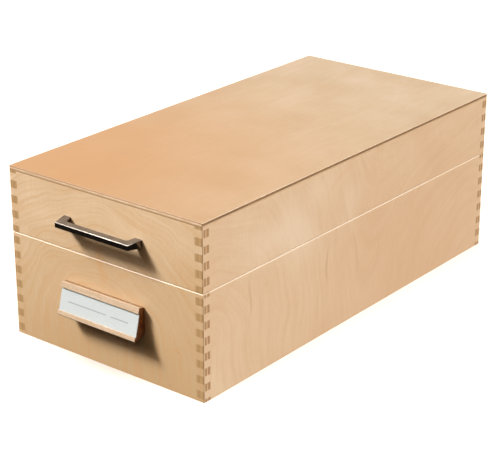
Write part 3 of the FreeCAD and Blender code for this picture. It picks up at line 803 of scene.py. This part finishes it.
def makeFrontFittings(finish):
    mesh = roundEdges(takeShape("lid_handle"), "bar_pull", outlineWeight(2), pull["edge"], clamp=False)
    piece = linkMesh("bar_pull", mesh, [finish["bronze"], finish["bronzeEdge"]], "lid")
    rubbedFrom, rubbedTo = pull["rubbed"]
    for polygon in mesh.polygons:
        polygon.material_index = 1 if rubbedFrom < abs(polygon.normal.z) < rubbedTo else 0
    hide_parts("lid_handle")
    shape = takeShape("label_block")
    mesh = roundEdges(shape, "label_holder", outlineWeight(0), holder["edge"], clamp=False)
    piece = linkMesh("label_holder", mesh, [finish["beech"], finish["beechEnd"]], "case_body")
    for polygon in mesh.polygons:
        polygon.material_index = 1 if abs(polygon.normal.x) > holder["endGrain"] else 0
    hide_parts("label_block")
    for node, name, material, slot, edge in (
        ("label_card", "printed_card", "card", "label_paper", label["cardEdge"]),
        ("label_cover", "clear_cover", "film", "clear_strip", label["filmEdge"]),
    ):
        shape = takeShape(node)
        if node == "label_cover":  # its back face moves off the card, so that the two never meet
            face = max(shape.faces, key=lambda item: item.calc_area() - item.normal.y).normal.copy()
            middle = sum((vertex.co.dot(face) for vertex in shape.verts)) / len(shape.verts)
            for vertex in shape.verts:
                if vertex.co.dot(face) < middle:
                    vertex.co += face * label["gap"]
        mesh = roundEdges(shape, name, sharperThan(label["corner"]), edge, 2)
        piece = linkMesh(name, mesh, [finish[material]], "label_insert")
        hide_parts(node)
    print("pull and label done")


def makeHinges(finish):
    for side in ("left", "right"):
        for part, body in (("body_leaf", "case_body"), ("lid_leaf", "lid"), ("pin", "case_body")):
            node = f"{side}_hinge_{part}"
            corners = sharperThan(hinge["corner"])
            mesh = roundEdges(takeShape(node), node + "_eased", corners, hinge["edge"], 2)
            piece = linkMesh(node + "_eased", mesh, [finish["nickel"]], body)
            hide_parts(node)
    print("hinges done")


# Screws, turned from a profile with a thread and a cross recess. Millimetres; head and shank are radii.
screws = {
    "pull": {
        "head": 2.7, "headHeight": 1.7, "shank": 1.5, "length": 12.0, "pitch": 0.5, "depth": 0.28,
        "recess": (3.0, 0.7, 1.0),  # length, width and depth
    },
    "holder": {
        "head": 2.7, "headHeight": 1.7, "shank": 1.25, "length": 11.5, "pitch": 1.1, "depth": 0.3,
        "recess": (2.8, 0.65, 1.0),
    },
    "hinge": {
        "head": 1.9, "headHeight": 0, "shank": 0.9, "length": 5.8, "pitch": 0.8, "depth": 0.22,
        "recess": (2.0, 0.45, 0.7), "sink": 1.0,
    },
}
turning = {
    "steps": 32, "domeSteps": 4,
    "skirt": 0.5, "crown": 0.55, "soften": 0.08, "rim": 0.06,  # the head; the crown is a share of it
    "lead": 0.4, "plain": 1.4, "root": 0.35, "crest": 0.8,  # the thread; the last two share its pitch
    "tip": 0.5, "tipShoulder": 0.6, "tipPoint": 0.12,  # the tip; the last two are shares of the shank
    "recessTaper": (0.55, 0.8),  # how much of the cross's length and width is left at its bottom
    "firstTurn": 12, "nextTurn": 37,  # degrees, so that no two crosses line up
    "sharp": 35,  # degrees, where the shading breaks
}


def screwProfile(look):
    # radius and distance along the screw, from the top of the head to the tip
    points = []
    if look["headHeight"]:  # pan head: a low dome on a short skirt
        dome = look["headHeight"] - turning["skirt"]
        for step in range(turning["domeSteps"] + 1):
            angle = math.radians(90 * step / turning["domeSteps"])
            radius = look["head"] * (turning["crown"] + (1 - turning["crown"]) * math.sin(angle))
            points.append((radius, -turning["skirt"] - dome * math.cos(angle)))
        points.append((look["head"], -turning["soften"]))
        points.append((look["head"] - turning["soften"], 0.0))
        start = 0.0
    else:  # countersunk, flush with the leaf
        points.append((look["head"] - turning["rim"], 0.0))
        points.append((look["head"], turning["rim"]))
        start = look["sink"]
    points.append((look["shank"], start))
    turns = int((look["length"] - start - turning["plain"]) / look["pitch"])
    for turn in range(turns):
        base = start + turning["lead"] + turn * look["pitch"]
        points.append((look["shank"] - look["depth"], base + look["pitch"] * turning["root"]))
        points.append((look["shank"], base + look["pitch"] * turning["crest"]))
    points.append((look["shank"] * turning["tipShoulder"], look["length"] - turning["tip"]))
    points.append((look["shank"] * turning["tipPoint"], look["length"]))
    return points


def screwShape(look):
    # the profile swept round the screw's own axis, which is Y
    shape = bmesh.new()
    steps = turning["steps"]
    angles = [2 * math.pi * step / steps for step in range(steps)]
    rings = []
    for radius, along in screwProfile(look):
        rings.append([
            shape.verts.new((radius * mm * math.cos(angle), -along * mm, radius * mm * math.sin(angle)))
            for angle in angles
        ])
    for first, second in zip(rings, rings[1:]):
        for step in range(steps):
            following = (step + 1) % steps
            shape.faces.new((first[step], first[following], second[following], second[step]))
    shape.faces.new(rings[0][::-1])
    shape.faces.new(rings[-1])
    bmesh.ops.recalc_face_normals(shape, faces=shape.faces)
    return shape


def crossShape(look):
    # the driver's cross, tapering into the head
    length, width, depth = (size * mm for size in look["recess"])
    top = look["headHeight"] * mm
    shape = bmesh.new()
    for turn in (0, 90):
        made = bmesh.ops.create_cube(shape, size=1.0)["verts"]
        for vertex in made:
            deep = vertex.co.y < 0
            longer, wider = turning["recessTaper"] if deep else (1, 1)
            level = top - depth if deep else top + depth
            vertex.co = Vector((vertex.co.x * length * longer, level, vertex.co.z * width * wider))
        turned = Matrix.Rotation(math.radians(turn), 3, "Y")
        bmesh.ops.rotate(shape, verts=made, cent=(0, 0, 0), matrix=turned)
    return shape


def cutRecess(name, look):
    objects = []
    for part, shape in (("Blank", screwShape(look)), ("Cross", crossShape(look))):
        mesh = bpy.data.meshes.new(name + part)
        shape.to_mesh(mesh)
        shape.free()
        item = bpy.data.objects.new(name + part, mesh)
        bpy.context.scene.collection.objects.link(item)
        objects.append(item)
    blank, cross = objects
    cutter = blank.modifiers.new("recess", "BOOLEAN")
    cutter.operation = "DIFFERENCE"
    cutter.solver = "EXACT"
    cutter.use_self = True
    cutter.object = cross
    ready = blank.evaluated_get(bpy.context.evaluated_depsgraph_get())
    mesh = bpy.data.meshes.new_from_object(ready)
    for item in objects:
        bpy.data.objects.remove(item)
    return mesh


def placeScrews(name, look, places, node, body, finish):
    # one mesh with a copy of the screw at each place, each turned a little differently
    single = cutRecess(name, look)
    shape = bmesh.new()
    for number, place in enumerate(places):
        before = len(shape.verts)
        shape.from_mesh(single)
        shape.verts.ensure_lookup_table()
        added = shape.verts[before:]
        degrees = turning["nextTurn"] * number + turning["firstTurn"]
        turn = Matrix.Rotation(math.radians(degrees), 3, "Y")
        bmesh.ops.rotate(shape, verts=added, cent=(0, 0, 0), matrix=turn)
        bmesh.ops.translate(shape, verts=added, vec=place)
    mesh = bpy.data.meshes.new(name)
    shape.to_mesh(mesh)
    shape.free()
    for polygon in mesh.polygons:
        polygon.use_smooth = True
    mesh.set_sharp_from_angle(angle=math.radians(turning["sharp"]))
    piece = linkMesh(name, mesh, [finish["zinc"]], body)
    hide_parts(node)


def makeScrews(finish):
    for name, key, node, body in (
        ("pull_screws", "pull", "handle_screws", "lid"),
        ("holder_screws", "holder", "label_block_screws", "case_body"),
    ):
        look = screws[key]
        low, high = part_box(node)
        seat = high.y - look["headHeight"] * mm
        half = high.x - look["head"] * mm
        places = [Vector((side * half, seat, (low.z + high.z) / 2)) for side in (-1, 1)]
        placeScrews(name, look, places, node, body, finish)
    look = screws["hinge"]
    for part, body in (("body", "case_body"), ("lid", "lid")):
        node = f"hinge_{part}_screws"
        low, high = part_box(node)
        places = []
        for side in ("left", "right"):
            leafLow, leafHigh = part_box(f"{side}_hinge_{part}_leaf")
            middle = (leafLow.x + leafHigh.x) / 2
            reach = high.x - look["head"] * mm - abs(middle)
            for along in (-reach, reach):
                places.append(Vector((middle + along, high.y, (low.z + high.z) / 2)))
        placeScrews(f"{part}_leaf_screws", look, places, node, body, finish)
    print("screws done")


makeCamera()
makeStudio()
print("camera and studio done")

finish = {
    "frontVeneer": makeVeneer(frontVeneer),  # pale honey, arched, with a knot and stains
    "sideVeneer": makeVeneer(sideVeneer),  # pinker and plainer, with short dark streaks
    "topVeneer": makeVeneer(topVeneer),  # warmer orange towards the front left corner
    "insideVeneer": makeVeneer(insideVeneer),
    # the two paler arris veneers are painted highlight
    "arrisHighlight": makeVeneer(highlightArrisVeneer),
    "sideArrisHighlight": makeVeneer(highlightSideArrisVeneer),
    "beech": makeBeech(),
    "beechEnd": makeBeechEnd(),
    "card": makeCardPaper(),
    "film": makeClearStrip(),
}
finish.update({key: makePlyEdge(look) for key, look in edges.items()})
finish.update({key: makeMetal(look) for key, look in metals.items()})
print("materials done")

makePanels(finish)
makeFrontFittings(finish)
makeHinges(finish)
makeScrews(finish)
